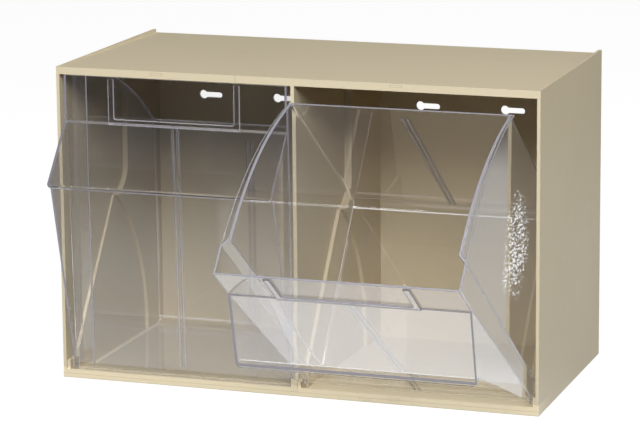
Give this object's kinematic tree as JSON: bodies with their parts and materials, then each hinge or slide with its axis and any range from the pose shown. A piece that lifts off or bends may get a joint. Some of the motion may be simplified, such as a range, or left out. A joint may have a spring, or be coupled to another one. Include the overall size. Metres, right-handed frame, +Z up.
{
  "type": "tilt-out bin rack",
  "caption": "Wall rack with two clear tilt-out bins in an open-fronted cabinet; each bin swings forward on stub pins at its lower front corners, with a pull hood and label frame.",
  "frame": {"origin": "middle of the rectangular base the cabinet stands on, at floor level", "axes": "+X to the right seen from the front, +Y towards the wall, +Z up; the bins open towards -Y"},
  "size_m": [0.6, 0.5859, 0.384],
  "materials": {
    "cabinet_plastic": "moulded polystyrene, satin",
    "clear_plastic": "clear moulded polystyrene, glossy"
  },
  "bodies": {
    "cabinet": {"cabinet_top": "cabinet_plastic", "cabinet_floor": "cabinet_plastic", "cabinet_left_side": "cabinet_plastic", "cabinet_right_side": "cabinet_plastic", "cabinet_back": "cabinet_plastic", "centre_divider": "cabinet_plastic", "left_bin_left_pivot_post": "cabinet_plastic", "left_bin_right_pivot_post": "cabinet_plastic", "right_bin_left_pivot_post": "cabinet_plastic", "right_bin_right_pivot_post": "cabinet_plastic"},
    "left_bin": {"left_bin_front_wall": "clear_plastic", "left_bin_back_wall": "clear_plastic", "left_bin_floor": "clear_plastic", "left_bin_left_side": "clear_plastic", "left_bin_right_side": "clear_plastic", "left_bin_pull_hood": "clear_plastic", "left_bin_label_frame": "clear_plastic", "left_bin_left_pivot_pin": "clear_plastic", "left_bin_right_pivot_pin": "clear_plastic"},
    "right_bin": {"right_bin_front_wall": "clear_plastic", "right_bin_back_wall": "clear_plastic", "right_bin_floor": "clear_plastic", "right_bin_left_side": "clear_plastic", "right_bin_right_side": "clear_plastic", "right_bin_pull_hood": "clear_plastic", "right_bin_label_frame": "clear_plastic", "right_bin_left_pivot_pin": "clear_plastic", "right_bin_right_pivot_pin": "clear_plastic"}
  },
  "joints": [
    {"name": "left_bin_tilt", "type": "hinge", "parent": "cabinet", "child": "left_bin", "pos_m": [-0.1491, -0.136, 0.014], "axis": [1, 0, 0], "range_deg": [0, 54]},
    {"name": "right_bin_tilt", "type": "hinge", "parent": "cabinet", "child": "right_bin", "pos_m": [0.1491, -0.136, 0.014], "axis": [1, 0, 0], "range_deg": [-54, 0]}
  ]
}
